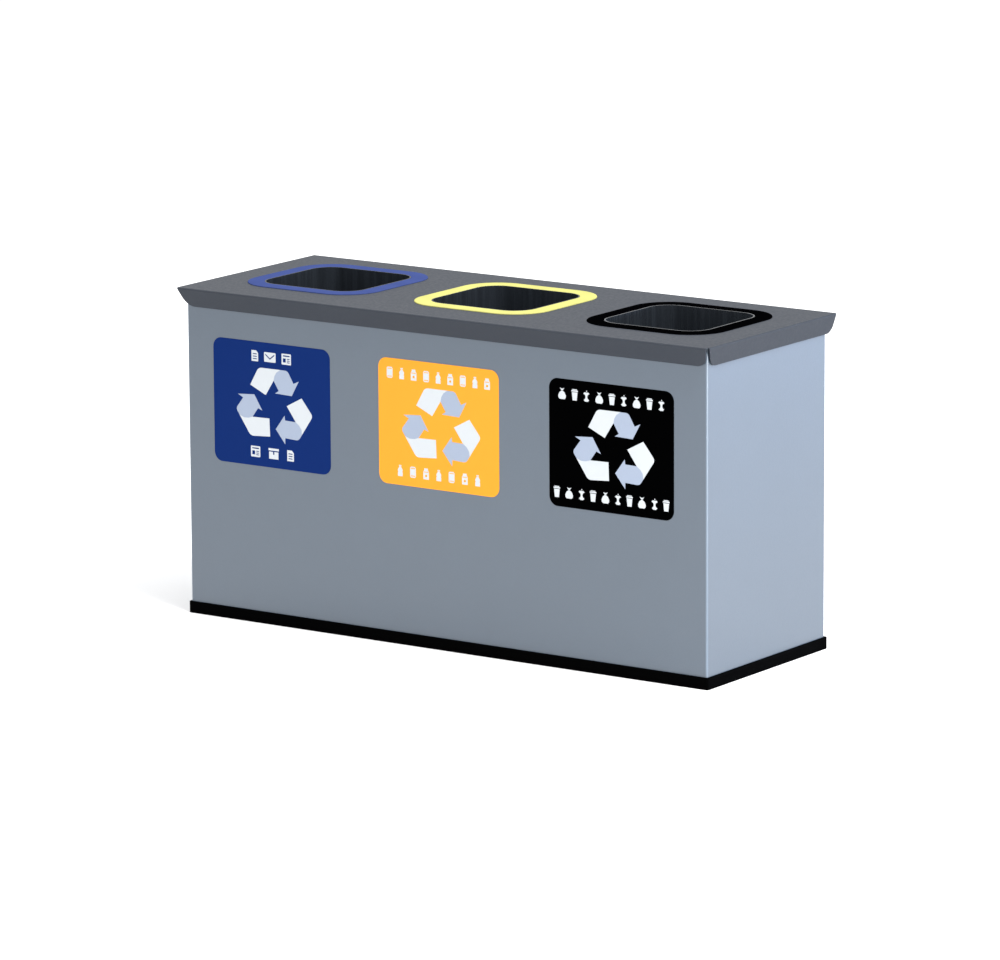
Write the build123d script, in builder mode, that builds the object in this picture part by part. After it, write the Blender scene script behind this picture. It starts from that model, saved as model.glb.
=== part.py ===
from build123d import *
import os

# Recycling bin for three kinds of waste: a folded sheet-steel box that stands in a black plastic
# edging, three plastic buckets inside it, and a folded lid with three mouths. Each mouth has a
# coloured frame and, under it, a dark throat that the waste bag hangs from.
# Millimetres. +X runs along the length, -Y is the front, +Z is up. The origin is the middle of
# the footprint, on the floor.

# ---- Driving dimensions -------------------------------------------------------------------
sheet = 1.0                   # steel sheet of the body, the floor, the dividers and the lid
body_width = 700.0
body_depth = 240.0
body_top = 376.0              # the lid lies on the folded edge at this height
corner_bend = 2.5             # outer radius of the upright bends
rest_flange = 10.0            # folded edge that the lid lies on
rest_slit_length = 12.0       # slit in the folded edge's front corners
rest_slit_width = 0.8
seam_flange = 18.0            # folded edge behind which the rear panel is riveted
seam_setback = 5.0            # the rear panel ends this far from the side walls

edging_height = 13.5
edging_wall = 2.0
edging_base = 3.0             # the walls stand on this much plastic
edging_corner = 2.0
edging_round = 0.6            # softening of its upper outer edge

pan_bottom = 14.5             # underside of the floor pan
pan_height = 17.0
pan_corner = 4.0

lid_width = 714.0             # between the sharp corners that the folds round off
lid_depth = 265.0
skirt_height = 22.3
skirt_clearance = 0.6         # between the skirt's lower edge and the body
lid_bend = 1.6                # outer radius of the lid's folds
corner_relief = 0.5           # the folds stop this far short of each other's bends
long_skirt_cut = 3.6          # how far the long skirts' lower corners are cut back
long_skirt_round = 15.0       # their rounding
front_relief = 5.0            # the end skirts' folds stop this much earlier at the front
end_skirt_front_cut = 6.6     # the end skirts' lower corners at the front
end_skirt_front_round = 14.0
end_skirt_rear_cut = -5.4     # at the rear they run on past the rear skirt
end_skirt_rear_round = 11.0

mouth_pitch = 231.3           # from mouth to mouth
mouth_y = 7.0                 # the mouths sit a little towards the rear
ring_size = 172.0
ring_corner = 45.0
ring_height = 1.2             # the frame stands this proud of the lid
ring_round = 0.8              # softening of its outer edge
collar_wall = 1.5             # square collar under the frame, that fits the lid's hole
collar_depth = 11.0           # the collar's reach below the lid's top face
collar_clearance = 0.4

throat_size = 134.0           # outside; the throat fills the frame's opening
throat_corner = 27.0
throat_wall = 1.5
throat_rim_gap = 0.3          # from the throat's upper rim up to the frame's face
throat_depth = 65.0           # the throat's reach below the lid's top face
throat_bead = 1.0             # bead round the throat's lower end, on the outside
throat_bead_height = 3.0

bucket_rim_width = 208.0
bucket_rim_depth = 210.0
bucket_mouth_width = 192.0    # outside, just under the rim
bucket_mouth_depth = 194.0
bucket_foot_width = 178.0
bucket_foot_depth = 180.0
bucket_mouth_corner = 29.0
bucket_foot_corner = 24.0
bucket_wall = 2.0
bucket_foot_round = 8.0
bucket_headroom = 4.0         # from the rim to the lid's underside
rim_lip = 9.0                 # height of the lip that hangs from the rim
rim_round = 1.2

label_width = 162.3
label_height = 142.1
label_corner = 11.0
label_film = 0.3
label_pitch = 229.0
label_shift = -3.0
label_middle = 252.0          # height of the stickers' middle

divider_flange = 12.0
divider_top_gap = 4.0         # below the folded edge at the top of the body
divider_bottom_gap = 1.5      # above the floor pan's edge
rivet_shank_radius = 1.6
rivet_head_radius = 3.25
rivet_head_height = 1.3
rivet_head_round = 1.2
rivet_tail_radius = 2.5
rivet_tail_length = 3.0
rivet_tail_round = 0.8
seam_rivet_inset = 7.0        # from the seam flange's edge to its rivets

# ---- Worked out from them -----------------------------------------------------------------
half_width = body_width / 2
half_depth = body_depth / 2
rear_inside = half_depth - sheet          # inner face of the rear panel, which the wrap ends at
lid_top = body_top + sheet
skirt_bottom = lid_top - skirt_height
pan_floor = pan_bottom + sheet
rim_top = body_top - bucket_headroom
flange_underside = body_top - sheet
mouth_columns = (-mouth_pitch, 0.0, mouth_pitch)
divider_columns = (-mouth_pitch / 2, mouth_pitch / 2)
seam_rivet_x = half_width - seam_flange + seam_rivet_inset
seam_rivet_rows = 4
seam_rivet_pitch = 100.0
divider_rivet_x = mouth_pitch / 2 + sheet / 2 + divider_flange / 2
divider_rivet_rows = 3
divider_rivet_pitch = 120.0
rivet_middle = 190.0                      # height of the rivet columns' middle
rear_face = Plane.XZ.offset(-half_depth)  # outer face of the rear panel, normal towards the front
front_face = Plane.XZ.offset(half_depth)  # outer face of the front wall, normal outwards

parts = []


def keep(builder, label):
    """Name a finished piece and put it on the list of pieces to write."""
    builder.part.label = label
    parts.append(builder.part)


# ---- Body: one wrap, closed by a rear panel -------------------------------------------------
wrap_depth = body_depth - sheet           # the wrap ends one sheet short of the rear face
wrap_middle = -sheet / 2

with BuildPart() as body_wrap:
    with BuildSketch(Plane.XY.offset(edging_base)) as wall_plan:
        with Locations((0, wrap_middle)):
            Rectangle(body_width, wrap_depth)
        fillet(wall_plan.vertices(), corner_bend)
        offset(amount=-sheet, mode=Mode.SUBTRACT)
        with Locations((0, half_depth)):
            Rectangle(body_width - 2 * seam_flange, 8 * sheet, mode=Mode.SUBTRACT)
    extrude(amount=body_top - edging_base)
    # the edge folded inwards at the top of the front and the sides, that the lid lies on
    with BuildSketch(Plane.XY.offset(flange_underside)) as rest_plan:
        with Locations((0, wrap_middle)):
            Rectangle(body_width, wrap_depth)
        fillet(rest_plan.vertices(), corner_bend)
        with Locations((0, -half_depth + rest_flange)):
            Rectangle(
                body_width - 2 * rest_flange,
                body_depth,
                align=(Align.CENTER, Align.MIN),
                mode=Mode.SUBTRACT,
            )
        # a slit in each front corner, where the flat sheet was cut before folding
        slit_inset = rest_flange / 2 + sheet
        for side in (-1, 1):
            with Locations((side * (half_width - slit_inset), -half_depth + slit_inset)):
                Rectangle(rest_slit_length, rest_slit_width, rotation=-45 * side, mode=Mode.SUBTRACT)
    extrude(amount=sheet)
    # the rear corners stop above the edging, and below the rear panel's folded edge
    for low, high in ((0, edging_height + 1), (flange_underside - 1, body_top + 1)):
        with BuildSketch(Plane.XY.offset(low)):
            with Locations((0, rear_inside - corner_bend)):
                Rectangle(body_width + 2, 20, align=(Align.CENTER, Align.MIN))
        extrude(amount=high - low, mode=Mode.SUBTRACT)
    with BuildSketch(rear_face):
        with Locations((0, rivet_middle)):
            with GridLocations(2 * seam_rivet_x, seam_rivet_pitch, 2, seam_rivet_rows):
                Circle(rivet_shank_radius)
    extrude(amount=4 * sheet, mode=Mode.SUBTRACT)
keep(body_wrap, "body_wrap")

with BuildPart() as rear_panel:
    panel_width = body_width - 2 * seam_setback
    with BuildSketch(rear_face):
        with Locations((0, edging_base)):
            Rectangle(panel_width, body_top - edging_base, align=(Align.CENTER, Align.MIN))
        with Locations((0, rivet_middle)):
            with GridLocations(2 * seam_rivet_x, seam_rivet_pitch, 2, seam_rivet_rows):
                Circle(rivet_shank_radius, mode=Mode.SUBTRACT)
            with GridLocations(2 * divider_rivet_x, divider_rivet_pitch, 2, divider_rivet_rows):
                Circle(rivet_shank_radius, mode=Mode.SUBTRACT)
    extrude(amount=sheet)
    with BuildSketch(Plane.XY.offset(flange_underside)):
        with Locations((0, half_depth)):
            Rectangle(panel_width - 2 * rest_flange, rest_flange + sheet, align=(Align.CENTER, Align.MAX))
    extrude(amount=sheet)
keep(rear_panel, "rear_panel")

# ---- Floor pan and dividers, spot-welded to the walls ---------------------------------------
with BuildPart() as floor_pan:
    pan_depth = body_depth - 3 * sheet    # from the front wall to the seam flanges
    with BuildSketch(Plane.XY.offset(pan_bottom)) as pan_plan:
        with Locations((0, -sheet / 2)):
            RectangleRounded(body_width - 2 * sheet, pan_depth, pan_corner)
    extrude(amount=pan_height)
    offset(amount=-sheet, openings=floor_pan.faces().sort_by(Axis.Z)[-1])
keep(floor_pan, "floor_pan")

divider_bottom = pan_bottom + pan_height + divider_bottom_gap
divider_top = flange_underside - divider_top_gap
for name, column in zip(("divider_left", "divider_right"), divider_columns):
    outwards = -1 if column < 0 else 1
    flange_centre = column + outwards * (divider_flange + sheet) / 2
    with BuildPart() as divider:
        with BuildSketch(Plane.XY.offset(divider_bottom)):
            with Locations((column, 0)):
                Rectangle(sheet, body_depth - 2 * sheet)
            for wall_side in (-1, 1):
                with Locations((flange_centre, wall_side * (rear_inside - sheet / 2))):
                    Rectangle(divider_flange, sheet)
        extrude(amount=divider_top - divider_bottom)
        with BuildSketch(rear_face):
            with Locations((0, rivet_middle)):
                with GridLocations(2 * divider_rivet_x, divider_rivet_pitch, 2, divider_rivet_rows):
                    Circle(rivet_shank_radius)
        extrude(amount=4 * sheet, mode=Mode.SUBTRACT)
    keep(divider, name)

# ---- Blind rivets in the rear panel ---------------------------------------------------------
rivet_groups = {
    "seam_rivets": (2 * seam_rivet_x, seam_rivet_pitch, seam_rivet_rows),
    "divider_rivets": (2 * divider_rivet_x, divider_rivet_pitch, divider_rivet_rows),
}
for name, (across, upwards, rows) in rivet_groups.items():
    with BuildPart() as rivets:
        for radius, start, length in (
            (rivet_head_radius, -rivet_head_height, rivet_head_height),
            (rivet_shank_radius, 0, 2 * sheet),
            (rivet_tail_radius, 2 * sheet, rivet_tail_length),
        ):
            with BuildSketch(rear_face.offset(start)):
                with Locations((0, rivet_middle)):
                    with GridLocations(across, upwards, 2, rows):
                        Circle(radius)
            extrude(amount=length)
        fillet(rivets.edges().group_by(Axis.Y)[-1], rivet_tail_round)
        fillet(rivets.edges().group_by(Axis.Y)[0], rivet_head_round)
    keep(rivets, name)

# ---- Base edging: a channel that the walls stand in, mitred at the corners -------------------
edging_half_width = half_width + edging_wall
edging_half_depth = half_depth + edging_wall
inner_half_width = half_width - sheet - edging_wall
inner_half_depth = half_depth - sheet - edging_wall

with BuildPart() as edging_frame:         # cut into four strips below, not a piece itself
    with BuildSketch(Plane.XY):
        RectangleRounded(2 * edging_half_width, 2 * edging_half_depth, edging_corner)
    extrude(amount=edging_height)
    fillet(edging_frame.edges().group_by(Axis.Z)[-1], edging_round)
    with BuildSketch(Plane.XY):
        Rectangle(2 * inner_half_width, 2 * inner_half_depth)
    extrude(amount=edging_height, mode=Mode.SUBTRACT)
    # the slot for the front and side walls follows their bends; the rear one is straight
    with BuildSketch(Plane.XY.offset(edging_base)) as slot_plan:
        Rectangle(body_width, body_depth)
        fillet(slot_plan.vertices().group_by(Axis.Y)[0], corner_bend)
        offset(amount=-sheet, mode=Mode.SUBTRACT)
    extrude(amount=edging_height, mode=Mode.SUBTRACT)

# Each strip is what the frame keeps inside a four-cornered outline with 45 degree ends.
reach = 20.0                              # past the frame's faces, so the mitres cut right through
out_x = edging_half_width + reach
out_y = edging_half_depth + reach
in_x = edging_half_width - reach
in_y = edging_half_depth - reach
mitres = {
    "base_edging_front": ((-out_x, -out_y), (out_x, -out_y), (in_x, -in_y), (-in_x, -in_y)),
    "base_edging_rear": ((-out_x, out_y), (out_x, out_y), (in_x, in_y), (-in_x, in_y)),
    "base_edging_left": ((-out_x, -out_y), (-out_x, out_y), (-in_x, in_y), (-in_x, -in_y)),
    "base_edging_right": ((out_x, -out_y), (out_x, out_y), (in_x, in_y), (in_x, -in_y)),
}
for name, outline in mitres.items():
    with BuildPart() as strip:
        add(edging_frame.part)
        with BuildSketch(Plane.XY):
            with BuildLine():
                Polyline(*outline, close=True)
            make_face()
        extrude(amount=edging_height, mode=Mode.INTERSECT)
    keep(strip, name)

# ---- Lid: a tray folded from one sheet, skirts leaning inwards, corners left open ------------
def folded_section(top_half, low_half):
    """Polyline of a trapezium that the folded sheet follows, run on below the skirts' edge."""
    overrun = 5.0
    lean = (top_half - low_half) / skirt_height
    end_half = low_half - lean * overrun
    end_z = skirt_bottom - overrun
    return ((-top_half, lid_top), (top_half, lid_top), (end_half, end_z), (-end_half, end_z))


def skirt_outline(left_end, right_end):
    """What is left of a skirt, seen square on. An end is where its fold and its lower corner lie."""
    fold_z = lid_top - lid_bend
    return (
        (left_end[0], lid_top + 1),
        (left_end[0], fold_z),
        (left_end[1], skirt_bottom),
        (right_end[1], skirt_bottom),
        (right_end[0], fold_z),
        (right_end[0], lid_top + 1),
    )


skirt_low_x = half_width + sheet + skirt_clearance
skirt_low_y = half_depth + sheet + skirt_clearance
fold_x = lid_width / 2 - lid_bend
fold_y = lid_depth / 2 - lid_bend
seam_x = fold_x - corner_relief           # the long folds stop here, just short of the end folds

with BuildPart() as long_folds:           # front and rear skirts, with the top sheet between them
    with BuildSketch(Plane.YZ) as section:
        with BuildLine():
            Polyline(*folded_section(lid_depth / 2, skirt_low_y), close=True)
        make_face()
        fillet(section.vertices().group_by(Axis.Y)[-1], lid_bend)
        offset(amount=-sheet, mode=Mode.SUBTRACT)
    extrude(amount=lid_width / 2, both=True)
    with BuildSketch(Plane.XZ) as outline:
        corner_x = skirt_low_x - long_skirt_cut
        with BuildLine():
            Polyline(*skirt_outline((-seam_x, -corner_x), (seam_x, corner_x)), close=True)
        make_face()
        fillet(outline.vertices().group_by(Axis.Y)[0], long_skirt_round)
    extrude(amount=lid_depth, both=True, mode=Mode.INTERSECT)

with BuildPart() as end_folds:            # left and right skirts, with their folds
    with BuildSketch(Plane.XZ) as section:
        with BuildLine():
            Polyline(*folded_section(lid_width / 2, skirt_low_x), close=True)
        make_face()
        fillet(section.vertices().group_by(Axis.Y)[-1], lid_bend)
        offset(amount=-sheet, mode=Mode.SUBTRACT)
    extrude(amount=lid_depth / 2, both=True)
    with BuildSketch(Plane.YZ) as outline:
        front_end = (front_relief - fold_y, end_skirt_front_cut - skirt_low_y)
        rear_end = (fold_y - corner_relief, skirt_low_y - end_skirt_rear_cut)
        with BuildLine():
            Polyline(*skirt_outline(front_end, rear_end), close=True)
        make_face()
        fillet(outline.vertices().group_by(Axis.Y)[0].sort_by(Axis.X)[-1], end_skirt_rear_round)
        fillet(outline.vertices().group_by(Axis.Y)[0].sort_by(Axis.X)[0], end_skirt_front_round)
    extrude(amount=lid_width, both=True, mode=Mode.INTERSECT)
    # the top sheet comes with the long folds, up to their ends
    with BuildSketch(Plane.XY.offset(body_top)):
        Rectangle(2 * seam_x, 2 * lid_depth)
    extrude(amount=2 * sheet, mode=Mode.SUBTRACT)

collar_size = throat_size + 2 * collar_wall
collar_corner = throat_corner + collar_wall
hole_size = collar_size + 2 * collar_clearance
hole_corner = collar_corner + collar_clearance
with BuildPart() as lid_panel:
    add(long_folds.part)
    add(end_folds.part)
    for column in mouth_columns:
        with BuildSketch(Plane((column, mouth_y, lid_top))):
            RectangleRounded(hole_size, hole_size, hole_corner)
        extrude(amount=-2 * sheet, mode=Mode.SUBTRACT)
keep(lid_panel, "lid_panel")

# ---- Coloured frames that drop into the lid's holes, and the throats fixed inside them ---------
mouth_size = throat_size - 2 * throat_wall
mouth_corner = throat_corner - throat_wall
throat_top = ring_height - throat_rim_gap     # above the lid's top face
bead_size = throat_size + 2 * throat_bead
bead_corner = throat_corner + throat_bead
waste_kinds = ("paper", "metal_plastic", "general")
for kind, column in zip(waste_kinds, mouth_columns):
    seat = Plane((column, mouth_y, lid_top))
    with BuildPart() as ring:
        with BuildSketch(seat):
            RectangleRounded(ring_size, ring_size, ring_corner)
        extrude(amount=ring_height)
        fillet(ring.edges().group_by(Axis.Z)[-1], ring_round)
        with BuildSketch(seat):
            RectangleRounded(collar_size, collar_size, collar_corner)
        extrude(amount=-collar_depth)
        with BuildSketch(seat.offset(-collar_depth)):
            RectangleRounded(throat_size, throat_size, throat_corner)
        extrude(amount=collar_depth + ring_height, mode=Mode.SUBTRACT)
    keep(ring, f"ring_{kind}")

    throat_end = seat.offset(-throat_depth)
    with BuildPart() as throat:
        with BuildSketch(throat_end):
            RectangleRounded(throat_size, throat_size, throat_corner)
        extrude(amount=throat_depth + throat_top)
        with BuildSketch(throat_end):
            RectangleRounded(bead_size, bead_size, bead_corner)
        extrude(amount=throat_bead_height)
        with BuildSketch(throat_end):
            RectangleRounded(mouth_size, mouth_size, mouth_corner)
        extrude(amount=throat_depth + ring_height, mode=Mode.SUBTRACT)
    keep(throat, f"throat_{kind}")

# ---- Buckets: tapered plastic tubs with a rolled rim -----------------------------------------
tub_foot = (bucket_foot_width, bucket_foot_depth)
tub_mouth = (bucket_mouth_width, bucket_mouth_depth)


def tub_body(column, foot_z, shrink):
    """Tapered solid from the foot to the rim; shrink takes it to the inside of the wall."""
    with BuildPart() as tub:
        with BuildSketch(Plane((column, 0, foot_z))):
            RectangleRounded(*[side - 2 * shrink for side in tub_foot], bucket_foot_corner - shrink)
        with BuildSketch(Plane((column, 0, rim_top))):
            RectangleRounded(*[side - 2 * shrink for side in tub_mouth], bucket_mouth_corner - shrink)
        loft()
        fillet(tub.edges().group_by(Axis.Z)[0], bucket_foot_round - shrink)
    return tub.part


rim_corner = bucket_mouth_corner + (bucket_rim_width - bucket_mouth_width) / 2
for kind, column in zip(waste_kinds, mouth_columns):
    outside = tub_body(column, pan_floor, 0)
    inside = tub_body(column, pan_floor + bucket_wall, bucket_wall)
    rim_plane = Plane((column, 0, rim_top))
    with BuildPart() as bucket:
        add(outside)
        with BuildSketch(rim_plane):
            RectangleRounded(bucket_rim_width, bucket_rim_depth, rim_corner)
        extrude(amount=-rim_lip)
        fillet(bucket.edges().group_by(Axis.Z)[-1], rim_round)
        # hollow under the rim, so that it is a lip and not a solid band
        with BuildSketch(rim_plane.offset(-bucket_wall)):
            RectangleRounded(
                bucket_rim_width - 2 * bucket_wall,
                bucket_rim_depth - 2 * bucket_wall,
                rim_corner - bucket_wall,
            )
            RectangleRounded(*tub_mouth, bucket_mouth_corner, mode=Mode.SUBTRACT)
        extrude(amount=-rim_lip, mode=Mode.SUBTRACT)
        add(inside, mode=Mode.SUBTRACT)
    keep(bucket, f"bucket_{kind}")

# ---- Stickers on the front wall ---------------------------------------------------------------
label_columns = [label_shift + step * label_pitch for step in (-1, 0, 1)]
for kind, column in zip(waste_kinds, label_columns):
    with BuildPart() as label:
        with BuildSketch(front_face):
            with Locations((column, label_middle)):
                RectangleRounded(label_width, label_height, label_corner)
        extrude(amount=label_film)
    keep(label, f"label_{kind}")

# ---- Write one STEP file for each piece --------------------------------------------------------
os.makedirs("parts", exist_ok=True)
for part in parts:
    export_step(part, f"parts/{part.label}.step")
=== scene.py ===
import math

import bmesh
import bpy
from mathutils import Matrix, Vector


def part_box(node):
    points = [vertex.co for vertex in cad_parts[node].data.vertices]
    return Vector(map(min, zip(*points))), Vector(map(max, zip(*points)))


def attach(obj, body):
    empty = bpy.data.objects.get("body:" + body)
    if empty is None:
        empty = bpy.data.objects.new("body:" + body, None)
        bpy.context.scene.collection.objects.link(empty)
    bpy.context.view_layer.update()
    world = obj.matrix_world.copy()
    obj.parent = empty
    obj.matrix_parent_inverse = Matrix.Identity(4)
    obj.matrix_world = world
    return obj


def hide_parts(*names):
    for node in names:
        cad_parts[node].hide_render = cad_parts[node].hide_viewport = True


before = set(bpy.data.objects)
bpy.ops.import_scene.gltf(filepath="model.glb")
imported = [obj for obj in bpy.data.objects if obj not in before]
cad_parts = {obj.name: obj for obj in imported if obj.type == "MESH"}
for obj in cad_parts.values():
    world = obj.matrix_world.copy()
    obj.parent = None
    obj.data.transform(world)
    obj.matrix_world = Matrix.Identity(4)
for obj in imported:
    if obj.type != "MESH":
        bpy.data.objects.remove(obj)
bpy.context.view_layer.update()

MM = 0.001
KINDS = ("paper", "metal_plastic", "general")
NOISE_RANGE = (0.3, 0.7)            # where nearly all of a noise's values lie
SHARP_FROM = math.radians(50)       # edges that turn by more than this stay sharp


def box_centre(node):
    """Middle of a node's box."""
    low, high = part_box(node)
    return (Vector(low) + Vector(high)) / 2


# ---- Material building blocks ----------------------------------------------------------------
class Surface:
    """A principled material with short ways to feed its inputs from noise."""

    def __init__(self, name, colour, roughness, specular=0.5):
        self.material = bpy.data.materials.new(name)
        self.material.use_nodes = True
        self.tree = self.material.node_tree
        self.shader = self.tree.nodes["Principled BSDF"]
        self.shader.inputs["Base Color"].default_value = (*colour, 1.0)
        self.shader.inputs["Roughness"].default_value = roughness
        self.shader.inputs["Specular IOR Level"].default_value = specular
        self.colour = colour
        self.place = self.node("ShaderNodeTexCoord").outputs["Object"]
        self.height = None

    def node(self, kind, **settings):
        """A new node of a kind, with settings such as its operation."""
        made = self.tree.nodes.new(kind)
        for key, value in settings.items():
            setattr(made, key, value)
        return made

    def link(self, source, target):
        """Feed an input from an output."""
        self.tree.links.new(source, target)

    def noise(self, size, detail=2.0, roughness=0.5, stretch=(1.0, 1.0, 1.0)):
        """Noise from 0 to 1 with features of about the given size in metres."""
        mapping = self.node("ShaderNodeMapping")
        mapping.inputs["Scale"].default_value = stretch
        self.link(self.place, mapping.inputs["Vector"])
        texture = self.node("ShaderNodeTexNoise")
        texture.inputs["Scale"].default_value = 1.0 / size
        texture.inputs["Detail"].default_value = detail
        texture.inputs["Roughness"].default_value = roughness
        self.link(mapping.outputs["Vector"], texture.inputs["Vector"])
        return texture.outputs["Fac"]

    def spread(self, value, low, high):
        """Map a noise's usual range to low..high."""
        ramp = self.node("ShaderNodeMapRange")
        ramp.inputs["From Min"].default_value = NOISE_RANGE[0]
        ramp.inputs["From Max"].default_value = NOISE_RANGE[1]
        ramp.inputs["To Min"].default_value = low
        ramp.inputs["To Max"].default_value = high
        self.link(value, ramp.inputs["Value"])
        return ramp.outputs["Result"]

    def scale_colour(self, factor):
        """Multiply the base colour by a factor."""
        scale = self.node("ShaderNodeVectorMath", operation="SCALE")
        current = self.shader.inputs["Base Color"]
        if current.is_linked:
            self.link(current.links[0].from_socket, scale.inputs[0])
        else:
            scale.inputs[0].default_value = self.colour
        self.link(factor, scale.inputs["Scale"])
        self.link(scale.outputs["Vector"], current)

    def vary_colour(self, value, low, high):
        """Multiply the base colour by low..high, following a noise."""
        self.scale_colour(self.spread(value, low, high))

    def paint_fold_highlight(self, gain):
        """Painted highlight: lighten the base colour on the upright folds by up to the given share,
        standing in for the light the bends catch.
        """
        facing = self.node("ShaderNodeSeparateXYZ")
        self.link(self.node("ShaderNodeNewGeometry").outputs["Normal"], facing.inputs["Vector"])
        across = self.node("ShaderNodeMath", operation="MULTIPLY")
        self.link(facing.outputs["X"], across.inputs[0])
        self.link(facing.outputs["Y"], across.inputs[1])
        amount = self.node("ShaderNodeMath", operation="ABSOLUTE")
        self.link(across.outputs["Value"], amount.inputs[0])
        # a normal half way round an upright fold has an X * Y of 1/2
        factor = self.node("ShaderNodeMath", operation="MULTIPLY_ADD")
        self.link(amount.outputs["Value"], factor.inputs[0])
        factor.inputs[1].default_value = 2 * gain
        factor.inputs[2].default_value = 1.0
        self.scale_colour(factor.outputs["Value"])

    def vary_roughness(self, value, low, high):
        """Set the roughness to low..high, following a noise."""
        self.link(self.spread(value, low, high), self.shader.inputs["Roughness"])

    def bump(self, value, depth):
        """Add relief of the given depth in metres."""
        relief = self.node("ShaderNodeBump")
        relief.inputs["Strength"].default_value = 1.0
        relief.inputs["Distance"].default_value = depth
        self.link(value, relief.inputs["Height"])
        if self.height is not None:
            self.link(self.height, relief.inputs["Normal"])
        self.height = relief.outputs["Normal"]
        self.link(self.height, self.shader.inputs["Normal"])


def powder_coat(name, colour, roughness, specular, fold_highlight_gain):
    """Powder coat on sheet steel: orange peel, a tiny grain, faint waviness of the sheet, and a painted
    highlight on the upright folds.
    """
    coat = Surface(name, colour, roughness, specular)
    grain = coat.noise(0.9 * MM, detail=3.0, roughness=0.6)
    peel = coat.noise(3.5 * MM, detail=2.0)
    sheet_wave = coat.noise(180 * MM, detail=1.0)
    blotch = coat.noise(40 * MM, detail=4.0, roughness=0.6)
    coat.vary_colour(grain, 0.965, 1.035)
    coat.vary_colour(blotch, 0.985, 1.015)
    # painted highlight: the base colour is made lighter on the upright folds, where the bends catch the
    # light
    coat.paint_fold_highlight(fold_highlight_gain)
    coat.vary_roughness(peel, roughness * 0.9, roughness * 1.1)
    coat.bump(grain, 0.035 * MM)
    coat.bump(peel, 0.05 * MM)
    coat.bump(sheet_wave, 0.5 * MM)
    return coat.material


def moulded_plastic(name, colour, roughness, specular, grain_depth=0.02 * MM):
    """Injection-moulded plastic: fine spark-eroded grain and slight flow marks."""
    plastic = Surface(name, colour, roughness, specular)
    grain = plastic.noise(0.6 * MM, detail=2.0)
    flow = plastic.noise(25 * MM, detail=2.0)
    plastic.vary_colour(flow, 0.95, 1.05)
    plastic.vary_roughness(flow, roughness * 0.88, roughness * 1.12)
    plastic.bump(grain, grain_depth)
    return plastic.material


def throat_plastic(name, specular):
    """Dark moulded plastic with the upright draw marks of a deep mould."""
    plastic = Surface(name, (0.019, 0.023, 0.029), 0.24, specular)
    marks = plastic.noise(9 * MM, detail=3.0, roughness=0.6, stretch=(1.0, 1.0, 0.05))
    grain = plastic.noise(1.2 * MM, detail=2.0)
    plastic.vary_colour(marks, 0.75, 1.25)
    plastic.vary_colour(grain, 0.90, 1.10)
    plastic.vary_roughness(marks, 0.20, 0.32)
    plastic.bump(marks, 0.25 * MM)
    return plastic.material


def vinyl(name, colour):
    """Printed sticker film: a soft gloss with the steel's texture just telling through."""
    film = Surface(name, colour, 0.36, specular=0.003)
    telling = film.noise(4 * MM, detail=2.0)
    mottle = film.noise(0.5 * MM, detail=1.0)
    film.vary_colour(mottle, 0.98, 1.02)
    film.vary_roughness(telling, 0.32, 0.42)
    film.bump(telling, 0.03 * MM)
    return film.material


def bare_metal(name, colour):
    """Unpainted metal with fine scratches."""
    metal = Surface(name, colour, 0.35)
    metal.shader.inputs["Metallic"].default_value = 1.0
    scratches = metal.noise(0.4 * MM, detail=2.0)
    metal.vary_roughness(scratches, 0.28, 0.45)
    metal.bump(scratches, 0.01 * MM)
    return metal.material


# last argument: share of painted highlight on the upright folds (the body's paint 0.85, the lid's paint
# none)
PAINT = powder_coat("body_paint", (0.068, 0.092, 0.123), 0.33, 0.8, 0.85)
LID_PAINT = powder_coat("lid_paint", (0.036, 0.041, 0.051), 0.50, 0.08, 0.0)
EDGING = moulded_plastic("edging_plastic", (0.0006, 0.0006, 0.0007), 0.6, 0.005, 0.04 * MM)
BUCKET = moulded_plastic("bucket_plastic", (0.016, 0.018, 0.020), 0.45, 0.4, 0.04 * MM)
ALUMINIUM = bare_metal("rivet_metal", (0.50, 0.51, 0.53))
PIN_STEEL = bare_metal("pin_steel", (0.16, 0.16, 0.17))
THROAT_GLOSS = {"paper": 0.04, "metal_plastic": 0.04, "general": 0.32}
FRAME_COLOURS = {
    "paper": (0.041, 0.060, 0.178),
    "metal_plastic": (0.455, 0.440, 0.145),
    "general": (0.0005, 0.0005, 0.0007),
}
LABEL_COLOURS = {
    "paper": (0.0060, 0.0213, 0.1145),
    "metal_plastic": (0.750, 0.307, 0.0325),
    "general": (0.0002, 0.0002, 0.0003),
}
PRINT_WHITE = vinyl("print_white", (0.52, 0.55, 0.575))
PRINT_SHADE = vinyl("print_shade", (0.306, 0.355, 0.450))


def dress(material, *node_names):
    """Give CAD nodes a material."""
    for name in node_names:
        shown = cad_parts[name]
        shown.data.materials.clear()
        shown.data.materials.append(material)


dress(PAINT, "body_wrap", "rear_panel", "floor_pan", "divider_left", "divider_right")
dress(LID_PAINT, "lid_panel")
dress(EDGING, *[f"base_edging_{side}" for side in ("front", "rear", "left", "right")])
dress(ALUMINIUM, "seam_rivets", "divider_rivets")
for kind in KINDS:
    dress(throat_plastic(f"throat_plastic_{kind}", THROAT_GLOSS[kind]), f"throat_{kind}")
    dress(BUCKET, f"bucket_{kind}")
    dress(vinyl(f"label_film_{kind}", LABEL_COLOURS[kind]), f"label_{kind}")


# ---- Coloured frames round the mouths ----------------------------------------------------------
MOUTH_HALF = 67 * MM        # from the middle of a frame to its inner wall
MOUTH_RADIUS = 27 * MM      # corners of the inner wall
OUTER_RADIUS = 45 * MM      # corners of the flange
COLLAR_WALL = 1.5 * MM
CROWN = 0.15 * MM           # the face's middle stands this much over its edges
INNER_ROUND = 0.9 * MM      # softening of the flange's inner edge
OUTER_ROUND = 0.8 * MM      # and of its outer edge
ROUND_STEPS = 6
FACE_STEPS = 8


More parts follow.
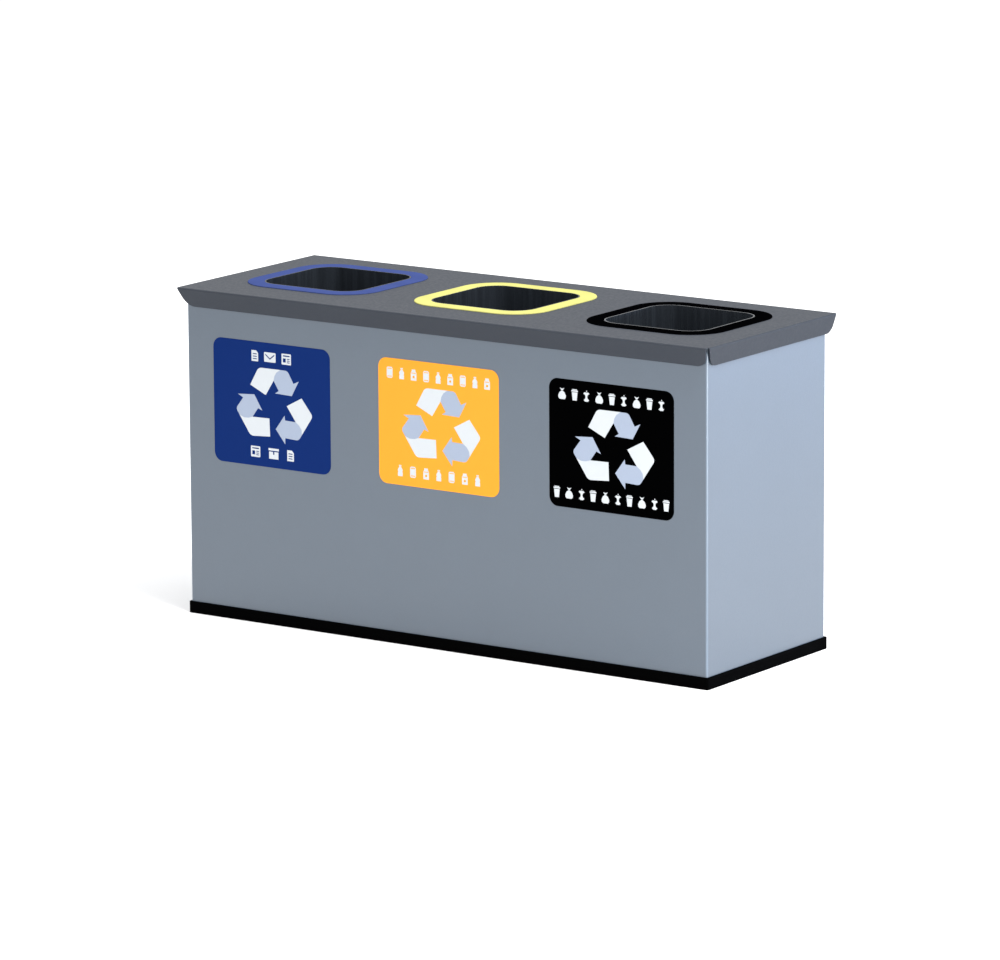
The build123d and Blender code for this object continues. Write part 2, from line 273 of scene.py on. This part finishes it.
def rounded_square(half, radius, z, corner_steps=14):
    """Points round a rounded square, a run of steps in each corner."""
    points = []
    for quarter in range(4):
        turn = quarter * math.pi / 2
        reach = half - radius
        centre = Vector((reach, reach, 0))
        centre.rotate(Matrix.Rotation(turn, 3, "Z"))
        for step in range(corner_steps + 1):
            angle = turn + step / corner_steps * math.pi / 2
            points.append((centre.x + radius * math.cos(angle), centre.y + radius * math.sin(angle), z))
    return points


def add_piece(name, mesh, material, body):
    """A finished mesh as a named piece that rides on a body."""
    piece = bpy.data.objects.new(name, mesh)
    bpy.context.scene.collection.objects.link(piece)
    mesh.materials.append(material)
    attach(piece, body)
    return piece


def frame_section(flange, face_z, lid_z, foot_z):
    """Section of a frame, as (distance out from the mouth, height). It closes on itself."""
    edge_z = face_z - CROWN
    section = [(0.0, foot_z), (0.0, face_z - INNER_ROUND)]
    for step in range(1, ROUND_STEPS + 1):
        angle = step / ROUND_STEPS * math.pi / 2
        rise = (INNER_ROUND - CROWN) * math.sin(angle)
        section.append((INNER_ROUND * (1 - math.cos(angle)), face_z - INNER_ROUND + rise))
    for step in range(1, FACE_STEPS):
        along = step / FACE_STEPS
        distance = INNER_ROUND + along * (flange - INNER_ROUND - OUTER_ROUND)
        section.append((distance, edge_z + CROWN * math.sin(along * math.pi)))
    for step in range(ROUND_STEPS + 1):
        angle = step / ROUND_STEPS * math.pi / 2
        distance = flange - OUTER_ROUND * (1 - math.sin(angle))
        section.append((distance, edge_z - OUTER_ROUND * (1 - math.cos(angle))))
    return section + [(flange, lid_z), (COLLAR_WALL, lid_z), (COLLAR_WALL, foot_z)]


def mouth_frame(kind):
    """Moulded frame: flange with a crowned face and soft edges, and the collar below it."""
    low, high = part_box(f"ring_{kind}")
    middle = box_centre(f"ring_{kind}")
    flange = (high[0] - low[0]) / 2 - MOUTH_HALF
    lid_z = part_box("lid_panel")[1][2]
    section = frame_section(flange, high[2], lid_z, low[2])
    built = bmesh.new()
    loops = []
    for distance, z in section:
        radius = MOUTH_RADIUS + distance * (OUTER_RADIUS - MOUTH_RADIUS) / flange
        ring = rounded_square(MOUTH_HALF + distance, radius, z)
        loops.append([built.verts.new((x + middle.x, y + middle.y, h)) for x, y, h in ring])
    for inner, outer in zip(loops, loops[1:] + loops[:1]):
        for index in range(len(inner)):
            after = (index + 1) % len(inner)
            built.faces.new((inner[index], outer[index], outer[after], inner[after]))
    bmesh.ops.recalc_face_normals(built, faces=built.faces)
    mesh = bpy.data.meshes.new(f"frame_{kind}")
    built.to_mesh(mesh)
    built.free()
    gloss = moulded_plastic(f"frame_plastic_{kind}", FRAME_COLOURS[kind], 0.42, 0.0, 0.01 * MM)
    piece = add_piece(f"frame_{kind}", mesh, gloss, f"{kind}_frame")
    mesh.shade_smooth()
    mesh.set_sharp_from_angle(angle=SHARP_FROM)
    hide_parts(f"ring_{kind}")


for kind in KINDS:
    mouth_frame(kind)


# ---- Broken-off pins in the blind rivets --------------------------------------------------------
# Half section of a pin and the rim round it, as (radius, height over the head) in millimetres, from
# inside the head to the pin's tip.
PIN_SECTION = [
    (0.0, -0.05),
    (1.75, -0.05),
    (1.7, 0.06),
    (1.5, 0.12),
    (1.3, 0.08),
    (1.2, 0.0),
    (0.95, 0.0),
    (0.9, 0.28),
    (0.6, 0.40),
    (0.0, 0.42),
]
PIN_STEPS = 20
RIVET_REACH = 10 * MM    # all points of one rivet lie this close to each other


def rivet_heads(node):
    """Middles of a node's rivet heads, on their outer faces."""
    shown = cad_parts[node]
    rivets = []
    for vertex in shown.data.vertices:
        point = shown.matrix_world @ vertex.co
        for rivet in rivets:
            first = rivet[0]
            if abs(point.x - first.x) < RIVET_REACH and abs(point.z - first.z) < RIVET_REACH:
                rivet.append(point)
                break
        else:
            rivets.append([point])
    heads = []
    for rivet in rivets:
        x = (min(p.x for p in rivet) + max(p.x for p in rivet)) / 2
        z = (min(p.z for p in rivet) + max(p.z for p in rivet)) / 2
        heads.append(Vector((x, max(p.y for p in rivet), z)))
    return heads


def pin_loop(built, head, radius, height):
    """Points round a pin's axis, or one on the axis where the radius is 0."""
    count = PIN_STEPS if radius else 1
    points = []
    for step in range(count):
        angle = 2 * math.pi * step / count
        out = Vector((radius * MM * math.cos(angle), height * MM, radius * MM * math.sin(angle)))
        points.append(built.verts.new(head + out))
    return points


def rivet_pins(name, node):
    """The pins of all the rivets in a node, as one piece."""
    built = bmesh.new()
    for head in rivet_heads(node):
        loops = [pin_loop(built, head, radius, height) for radius, height in PIN_SECTION]
        for lower, upper in zip(loops, loops[1:]):
            for step in range(PIN_STEPS):
                after = (step + 1) % PIN_STEPS
                if len(lower) == 1:
                    built.faces.new((lower[0], upper[step], upper[after]))
                elif len(upper) == 1:
                    built.faces.new((lower[step], upper[0], lower[after]))
                else:
                    built.faces.new((lower[step], upper[step], upper[after], lower[after]))
    bmesh.ops.recalc_face_normals(built, faces=built.faces)
    mesh = bpy.data.meshes.new(name)
    built.to_mesh(mesh)
    built.free()
    mesh.shade_smooth()
    mesh.set_sharp_from_angle(angle=SHARP_FROM)
    add_piece(name, mesh, PIN_STEEL, "bin")


rivet_pins("pins_seam", "seam_rivets")
rivet_pins("pins_divider", "divider_rivets")


# ---- Printing on the stickers ------------------------------------------------------------------
# Flat shapes are lists of outlines in millimetres, x to the right and y up, round their own middle.
# An outline that lies inside another one is a hole in it.
PRINT_THICKNESS = 0.06 * MM
SYMBOL_STRETCH = 1.18       # the loop is printed wider than it is tall
SYMBOL_SHIFT = (3.0, -0.7)  # from the sticker's middle
UPPER_ROW = 54.8            # heights of the two rows of pictures
LOWER_ROW = -54.8


def softened(corners, radii, steps=6):
    """Outline with each corner rounded by its own radius."""
    points = []
    count = len(corners)
    for index, (corner, radius) in enumerate(zip(corners, radii)):
        here = Vector(corner)
        before = (Vector(corners[index - 1]) - here).normalized()
        after = (Vector(corners[(index + 1) % count]) - here).normalized()
        if radius == 0:
            points.append(tuple(here))
            continue
        half_angle = before.angle(after) / 2
        centre = here + (before + after).normalized() * radius / math.sin(half_angle)
        start = here + before * radius / math.tan(half_angle) - centre
        sweep = start.angle_signed(here + after * radius / math.tan(half_angle) - centre)
        for step in range(steps + 1):
            spoke = start.copy()
            spoke.rotate(Matrix.Rotation(-sweep * step / steps, 2))
            points.append(tuple(centre + spoke))
    return points


def slab(width, height, x=0.0, y=0.0, radius=0.0):
    """Rectangle outline, with round corners if a radius is given."""
    a, b = width / 2, height / 2
    corners = [(x - a, y - b), (x + a, y - b), (x + a, y + b), (x - a, y + b)]
    return softened(corners, [radius] * 4) if radius else corners


def disc(radius, x=0.0, y=0.0, steps=20):
    """Circle outline."""
    return [
        (x + radius * math.cos(2 * math.pi * i / steps), y + radius * math.sin(2 * math.pi * i / steps))
        for i in range(steps)
    ]


def mirrored(right):
    """Left half of an outline, from its right half."""
    return [(-x, y) for x, y in reversed(right)]


def icon_sheet():
    """Sheet of paper with a folded corner and three lines."""
    page = [(-4.6, -6.2), (4.6, -6.2), (4.6, 3.4), (1.8, 6.2), (-4.6, 6.2)]
    return [page] + [slab(5.6, 1.1, 0, y) for y in (-3.4, -0.6, 2.2)]


def icon_envelope():
    """Closed envelope."""
    flap = [(-6.4, 3.9), (0, -1.0), (6.4, 3.9), (6.4, 2.3), (0, -2.7), (-6.4, 2.3)]
    return [slab(16, 11, radius=1.0), flap]


def icon_newspaper():
    """Folded newspaper: a heading, a picture and lines."""
    heading = slab(9.4, 1.4, 0, 3.7)
    picture = slab(4.0, 4.6, -2.7, -1.4)
    lines = [slab(3.8, 1.0, 2.8, y) for y in (0.3, -1.7, -3.7)]
    return [slab(13, 12.4, radius=0.9), heading, picture] + lines


def icon_carton_box():
    """Cardboard box seen square on, with a band of tape."""
    return [slab(13, 8.2, 0, -2.1), slab(1.8, 3.2, 0, 0.4), slab(14.4, 2.6, 0, 4.6)]


def icon_can():
    """Drinks can with a rim line above and below."""
    right = [(2.6, -6.2), (3.9, -4.8), (3.9, 4.8), (2.6, 6.2)]
    outline = right + mirrored(right)
    return [outline, slab(6.0, 0.9, 0, 4.3), slab(6.0, 0.9, 0, -4.3)]


def icon_bottle():
    """Plastic bottle with a cap and a waist."""
    right = [(3.2, -6.2), (3.2, -2.2), (2.6, -1.2), (3.2, -0.2), (3.2, 1.4), (1.3, 4.0), (1.3, 4.7)]
    body = right + mirrored(right)
    return [body, slab(3.2, 1.3, 0, 5.7)]


def icon_drink_carton():
    """Drink carton with a gable top."""
    right = [(3.8, -6.2), (3.8, 2.2), (2.4, 4.6), (2.4, 6.2)]
    outline = right + mirrored(right)
    return [outline, slab(6.0, 0.9, 0, 2.1), disc(1.5, 0, -2.2)]


def icon_waste_bag():
    """Tied waste bag."""
    right = [(0.9, 3.0), (3.4, 1.2), (5.0, -2.2), (4.8, -4.6), (3.2, -6.2)]
    bag = right + mirrored(right)
    ears = [(-0.9, 3.4), (0.9, 3.4), (3.0, 6.2), (0.0, 5.2), (-3.0, 6.2)]
    return [bag, ears]


def icon_cup():
    """Paper cup with a lid."""
    cup = [(-2.7, -6.2), (2.7, -6.2), (3.7, 2.8), (-3.7, 2.8)]
    return [cup, slab(8.6, 1.5, 0, 4.2), slab(6.0, 1.0, 0, 5.7)]


def icon_apple_core():
    """Eaten apple: broad top and bottom, thin waist and a stalk."""
    foot = [(1.6, -6.0), (3.6, -4.4), (1.5, -2.6), (1.1, -0.6)]
    right = foot + [(1.6, 1.2), (3.9, 2.8), (2.2, 4.4), (0.8, 4.0)]
    return [right + mirrored(right), slab(1.0, 1.6, 0.3, 5.4)]


def loop_arrows():
    """Three folded arrows that chase each other: the pale outlines and the shaded ones."""
    fold = [(0.0, 29.5), (0.9, 34.6), (3.4, 39.2), (8.0, 42.6)]
    tail = softened(
        [(-27.8, 21.8), (-9.6, 12.0), *fold, (-17.8, 42.6)],
        [0] * 6 + [6.0],
    )
    point = [(1.5, 15.2), (21.2, 14.4), (29.6, 32.0), (23.4, 28.6)]
    head = softened(
        [*reversed(fold), (5.9, 18.4), *point, (16.4, 42.6)],
        [0] * 9 + [5.0],
    )
    pale, shaded = [], []
    for third in range(3):
        turn = Matrix.Rotation(-2 * math.pi / 3 * third, 2)
        for outline, finished in ((tail, pale), (head, shaded)):
            turned = [turn @ Vector(corner) for corner in outline]
            finished.append([(SYMBOL_STRETCH * corner.x, corner.y) for corner in turned])
    return pale, shaded


def moved(outlines, x, y):
    """The outlines, shifted."""
    return [[(px + x, py + y) for px, py in outline] for outline in outlines]


def icon_row(icons, width, y):
    """Icons side by side, evenly spread over a width."""
    outlines = []
    icon_widths = [max(x for x, _ in icon[0]) * 2 for icon in icons]
    gap = (width - sum(icon_widths)) / (len(icons) - 1)
    left = -width / 2
    for icon, icon_width in zip(icons, icon_widths):
        outlines += moved(icon, left + icon_width / 2, y)
        left += icon_width + gap
    return outlines


def printed(name, outlines, material, label):
    """Thin layer of print on a sticker, from flat outlines round the sticker's middle."""
    curve = bpy.data.curves.new(name, "CURVE")
    curve.dimensions = "2D"
    curve.fill_mode = "BOTH"
    curve.extrude = PRINT_THICKNESS / 2
    for outline in outlines:
        spline = curve.splines.new("POLY")
        spline.points.add(len(outline) - 1)
        for point, (x, y) in zip(spline.points, outline):
            point.co = (x * MM, y * MM, 0, 1)
        spline.use_cyclic_u = True
    flat = bpy.data.objects.new(name + "_outline", curve)
    bpy.context.scene.collection.objects.link(flat)
    bpy.context.view_layer.update()
    evaluated = flat.evaluated_get(bpy.context.evaluated_depsgraph_get())
    mesh = bpy.data.meshes.new_from_object(evaluated)
    bpy.data.objects.remove(flat)
    mesh.name = name
    front_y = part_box(label)[0][1]
    middle = box_centre(label)
    mesh.transform(Matrix.Rotation(math.pi / 2, 4, "X"))
    mesh.transform(Matrix.Translation((middle.x, front_y - PRINT_THICKNESS / 2, middle.z)))
    mesh.materials.clear()
    return add_piece(name, mesh, material, "bin")


# For each kind the upper and the lower row: the pictures and the row's width.
ICONS = {
    "paper": (
        ([icon_sheet, icon_envelope, icon_newspaper], 55.0),
        ([icon_newspaper, icon_carton_box, icon_sheet], 60.0),
    ),
    "metal_plastic": (
        ([icon_can, icon_bottle, icon_drink_carton] * 3, 139.0),
        ([icon_bottle, icon_can, icon_drink_carton] * 2 + [icon_bottle], 111.0),
    ),
    "general": (
        ([icon_waste_bag, icon_cup, icon_apple_core] * 3, 138.0),
        ([icon_cup, icon_waste_bag, icon_apple_core] * 3 + [icon_cup], 150.0),
    ),
}
for kind in KINDS:
    pale, shaded = loop_arrows()
    rows = []
    for (icons, width), y in zip(ICONS[kind], (UPPER_ROW, LOWER_ROW)):
        rows += icon_row([draw() for draw in icons], width, y)
    label = f"label_{kind}"
    white = printed(f"print_white_{kind}", moved(pale, *SYMBOL_SHIFT) + rows, PRINT_WHITE, label)
    shade = printed(f"print_shade_{kind}", moved(shaded, *SYMBOL_SHIFT), PRINT_SHADE, label)


# ---- Room: floor, light and camera --------------------------------------------------------------
FLOOR_SIZE = 40.0
COOL = (0.68, 0.95, 1.50)

bpy.ops.mesh.primitive_plane_add(size=FLOOR_SIZE, location=(0, 0, 0))
floor = bpy.context.object
floor.name = "floor"
pale_floor = Surface("pale_floor", (0.96, 0.96, 0.96), 0.9, specular=0.0)
floor.data.materials.append(pale_floor.material)

world = bpy.data.worlds.new("studio")
bpy.context.scene.world = world
world.use_nodes = True
sky = world.node_tree.nodes["Background"]
sky.inputs["Color"].default_value = (1.0, 1.0, 1.0, 1.0)
sky.inputs["Strength"].default_value = 1.0


def soft_light(name, place, width, height, power, colour=(1.0, 1.0, 1.0)):
    """Rectangular area light at a place, turned to the middle of the body."""
    lamp = bpy.data.lights.new(name, "AREA")
    lamp.color = colour
    lamp.shape = "RECTANGLE"
    lamp.size = width
    lamp.size_y = height
    lamp.energy = power
    holder = bpy.data.objects.new(name, lamp)
    holder.location = place
    direction = box_centre("body_wrap") - Vector(place)
    holder.rotation_euler = direction.to_track_quat("-Z", "Y").to_euler()
    bpy.context.scene.collection.objects.link(holder)


soft_light("key_right_above", (1.9, -0.3, 3.8), 1.6, 1.6, 205.0)
soft_light("sheen_right_rear", (2.9, 3.7, 0.35), 2.6, 0.6, 54.0, COOL)
soft_light("corner_strip", (2.3, -1.17, 0.15), 0.3, 0.26, 31.0)
soft_light("fill_left_rear", (-3.0, 1.2, 2.2), 1.8, 1.8, 42.0)

# The camera looks from the right of the front, a little above the lid.
AZIMUTH = math.radians(34.78)
ELEVATION = math.radians(11.48)
ROLL = math.radians(-0.32)
DISTANCE = 7.321
AIM = Vector((-0.0221, 0.0256, 0.1654))
FOCAL_LENGTH = 234.3        # in millimetres, like the sensor's width
SENSOR_WIDTH = 36.0

camera_data = bpy.data.cameras.new("camera")
camera_data.sensor_width = SENSOR_WIDTH
camera_data.lens = FOCAL_LENGTH
camera = bpy.data.objects.new("camera", camera_data)
backwards = Vector((
    math.sin(AZIMUTH) * math.cos(ELEVATION),
    -math.cos(AZIMUTH) * math.cos(ELEVATION),
    math.sin(ELEVATION),
))
level_right = Vector((math.cos(AZIMUTH), math.sin(AZIMUTH), 0))
level_up = backwards.cross(level_right)
right = math.cos(ROLL) * level_right + math.sin(ROLL) * level_up
up = -math.sin(ROLL) * level_right + math.cos(ROLL) * level_up
turn = Matrix((right, up, backwards)).transposed().to_4x4()
camera.matrix_world = Matrix.Translation(AIM + backwards * DISTANCE) @ turn
bpy.context.scene.collection.objects.link(camera)
bpy.context.scene.camera = camera
bpy.context.scene.view_settings.view_transform = "Standard"
